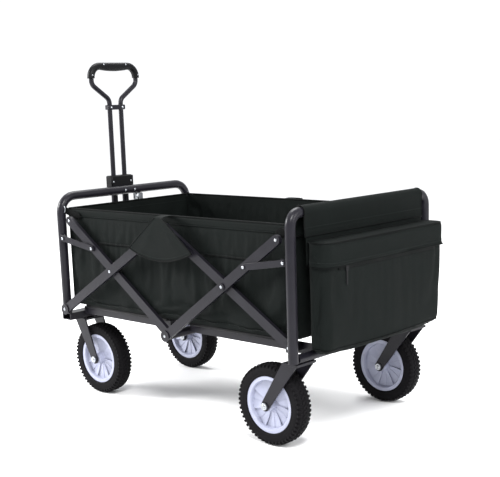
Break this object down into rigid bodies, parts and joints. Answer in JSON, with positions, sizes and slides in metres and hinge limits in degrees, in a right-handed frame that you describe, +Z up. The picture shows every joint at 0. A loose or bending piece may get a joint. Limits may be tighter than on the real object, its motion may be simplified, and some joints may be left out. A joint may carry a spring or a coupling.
{
  "type": "wagon with pull handle",
  "caption": "Folding utility wagon with a black fabric tub, crossed side bars, end hoops, swivelling front wheels, a telescopic pull handle and a lidded rear bag.",
  "frame": {"origin": "on the floor, under the middle of the standing wagon's box", "axes": "+Z up; +X towards the rear bag and -X towards the pull handle; +Y to the wagon's right side"},
  "size_m": [0.9866, 0.558, 0.9285],
  "materials": {
    "frame_paint": "dark charcoal powder-coated steel",
    "zinc": "bright zinc-plated steel",
    "tyre_rubber": "black rubber",
    "hub_plastic": "light grey moulded polypropylene",
    "black_plastic": "black moulded plastic",
    "black_fabric": "black 600D polyester weave"
  },
  "bodies": {
    "rear_frame": {"rear_hoop": "frame_paint", "rear_cross_tube": "frame_paint", "fork_rear_left": "frame_paint", "fork_rear_right": "frame_paint", "axle_rear_left": "zinc", "axle_rear_right": "zinc", "bag_body": "black_fabric", "crossbar_sleeve": "black_fabric", "tub_rear_wall": "black_fabric", "tub_side_left": "black_fabric", "tub_side_right": "black_fabric"},
    "bars_c": {"bar_c_left": "frame_paint", "bar_c_right": "frame_paint"},
    "bars_b": {"bar_b_left": "frame_paint", "bar_b_right": "frame_paint"},
    "bars_a": {"bar_a_left": "frame_paint", "bar_a_right": "frame_paint"},
    "bars_d": {"bar_d_left": "frame_paint", "bar_d_right": "frame_paint", "centre_cross_tube": "frame_paint"},
    "apex_cover": {"apex_cover_left": "black_fabric", "apex_cover_right": "black_fabric"},
    "front_frame": {"front_hoop": "frame_paint", "front_cross_channel": "frame_paint", "handle_bracket": "frame_paint", "handle_latch": "zinc", "tub_front_wall": "black_fabric"},
    "link_front": {"link_front_left": "frame_paint", "link_front_right": "frame_paint"},
    "link_rear": {"link_rear_left": "frame_paint", "link_rear_right": "frame_paint"},
    "floor_front": {"floor_rail_front_left": "frame_paint", "floor_rail_front_right": "frame_paint", "floor_board_front": "black_fabric"},
    "floor_rear": {"floor_rail_rear_left": "frame_paint", "floor_rail_rear_right": "frame_paint", "floor_board_rear": "black_fabric"},
    "bag_lid": {"bag_lid": "black_fabric"},
    "zip_slider": {"zip_slider": "black_plastic"},
    "handle_lower": {"handle_lower_tube_left": "frame_paint", "handle_lower_tube_right": "frame_paint", "handle_lock_block": "black_plastic"},
    "handle_upper": {"handle_upper_tube_left": "frame_paint", "handle_upper_tube_right": "frame_paint", "handle_clamp_plate": "frame_paint", "handle_grip": "black_plastic"},
    "lock_lever": {"handle_lock_lever": "black_plastic"},
    "caster_left": {"fork_front_left": "frame_paint", "axle_front_left": "zinc"},
    "front_wheel_left": {"tyre_front_left": "tyre_rubber", "hub_front_left": "hub_plastic"},
    "rear_wheel_left": {"tyre_rear_left": "tyre_rubber", "hub_rear_left": "hub_plastic"},
    "caster_right": {"fork_front_right": "frame_paint", "axle_front_right": "zinc"},
    "front_wheel_right": {"tyre_front_right": "tyre_rubber", "hub_front_right": "hub_plastic"},
    "rear_wheel_right": {"tyre_rear_right": "tyre_rubber", "hub_rear_right": "hub_plastic"}
  },
  "joints": [
    {"name": "fold", "type": "hinge", "parent": "rear_frame", "child": "bars_c", "pos_m": [0.39125, 0, 0.25], "axis": [0, 1, 0], "range_deg": [0, 40.18], "deforming": ["tub_side_left", "tub_side_right"]},
    {"name": "apex_pivot", "type": "hinge", "parent": "bars_c", "child": "bars_b", "pos_m": [-0.01875, 0, 0.503], "axis": [0, 1, 0], "range_deg": [-80.37, 0]},
    {"name": "front_side_pivot", "type": "hinge", "parent": "bars_b", "child": "front_frame", "pos_m": [-0.42875, 0, 0.25], "axis": [0, 1, 0], "range_deg": [0, 40.19]},
    {"name": "cross_pivot_front", "type": "hinge", "parent": "bars_b", "child": "bars_a", "pos_m": [-0.22675, 0, 0.37465], "axis": [0, 1, 0], "range_deg": [0, 77.37]},
    {"name": "cross_pivot_rear", "type": "hinge", "parent": "bars_c", "child": "bars_d", "pos_m": [0.18925, 0, 0.37465], "axis": [0, 1, 0], "range_deg": [-77.37, 0]},
    {"name": "apex_cover_tilt", "type": "hinge", "parent": "bars_c", "child": "apex_cover", "pos_m": [-0.01875, 0, 0.503], "axis": [0, 1, 0], "range_deg": [-40.19, 0]},
    {"name": "link_front_pivot", "type": "hinge", "parent": "front_frame", "child": "link_front", "pos_m": [-0.42675, 0, 0.44921], "axis": [0, 1, 0], "range_deg": [-78.54, 0]},
    {"name": "link_rear_pivot", "type": "hinge", "parent": "rear_frame", "child": "link_rear", "pos_m": [0.38925, 0, 0.44921], "axis": [0, 1, 0], "range_deg": [0, 78.54]},
    {"name": "floor_front_hinge", "type": "hinge", "parent": "front_frame", "child": "floor_front", "pos_m": [-0.40375, 0, 0.242], "axis": [0, 1, 0], "range_deg": [-84.39, 0]},
    {"name": "floor_rear_hinge", "type": "hinge", "parent": "rear_frame", "child": "floor_rear", "pos_m": [0.36625, 0, 0.242], "axis": [0, 1, 0], "range_deg": [0, 84.39]},
    {"name": "handle_tilt", "type": "hinge", "parent": "front_frame", "child": "handle_lower", "pos_m": [-0.47875, 0, 0.246], "axis": [0, -1, 0], "range_deg": [0, 75]},
    {"name": "handle_extend", "type": "slide", "parent": "handle_lower", "child": "handle_upper", "axis": [0, 0, -1], "range_m": [0, 0.185]},
    {"name": "lock_lever_flip", "type": "hinge", "parent": "handle_lower", "child": "lock_lever", "pos_m": [-0.47875, 0.0403, 0.602], "axis": [1, 0, 0], "range_deg": [0, 90]},
    {"name": "bag_lid_hinge", "type": "hinge", "parent": "rear_frame", "child": "bag_lid", "pos_m": [0.43125, 0, 0.499], "axis": [0, -1, 0], "range_deg": [0, 90]},
    {"name": "zip_slide", "type": "slide", "parent": "rear_frame", "child": "zip_slider", "axis": [0, 1, 0], "range_m": [0, 0.32]},
    {"name": "caster_swivel_left", "type": "hinge", "parent": "front_frame", "child": "caster_left", "pos_m": [-0.43875, -0.174, 0.2165], "axis": [0, 0, 1], "continuous": true},
    {"name": "front_wheel_spin_left", "type": "hinge", "parent": "caster_left", "child": "front_wheel_left", "pos_m": [-0.38375, -0.174, 0.1], "axis": [0, 1, 0], "continuous": true},
    {"name": "rear_wheel_spin_left", "type": "hinge", "parent": "rear_frame", "child": "rear_wheel_left", "pos_m": [0.31525, -0.228, 0.1], "axis": [0, 1, 0], "continuous": true},
    {"name": "caster_swivel_right", "type": "hinge", "parent": "front_frame", "child": "caster_right", "pos_m": [-0.43875, 0.174, 0.2165], "axis": [0, 0, 1], "continuous": true},
    {"name": "front_wheel_spin_right", "type": "hinge", "parent": "caster_right", "child": "front_wheel_right", "pos_m": [-0.38375, 0.174, 0.1], "axis": [0, 1, 0], "continuous": true},
    {"name": "rear_wheel_spin_right", "type": "hinge", "parent": "rear_frame", "child": "rear_wheel_right", "pos_m": [0.31525, 0.228, 0.1], "axis": [0, 1, 0], "continuous": true}
  ],
  "couplings": [
    {"joint": "apex_pivot", "follows": "fold", "ratio": -2},
    {"joint": "front_side_pivot", "follows": "fold", "ratio": 1},
    {"joint": "cross_pivot_front", "follows": "fold", "ratio": 1.9253},
    {"joint": "cross_pivot_rear", "follows": "fold", "ratio": -1.9253},
    {"joint": "apex_cover_tilt", "follows": "fold", "ratio": -1},
    {"joint": "link_front_pivot", "follows": "fold", "ratio": -1.9543},
    {"joint": "link_rear_pivot", "follows": "fold", "ratio": 1.9543},
    {"joint": "floor_front_hinge", "follows": "fold", "ratio": -2.1},
    {"joint": "floor_rear_hinge", "follows": "fold", "ratio": 2.1}
  ]
}
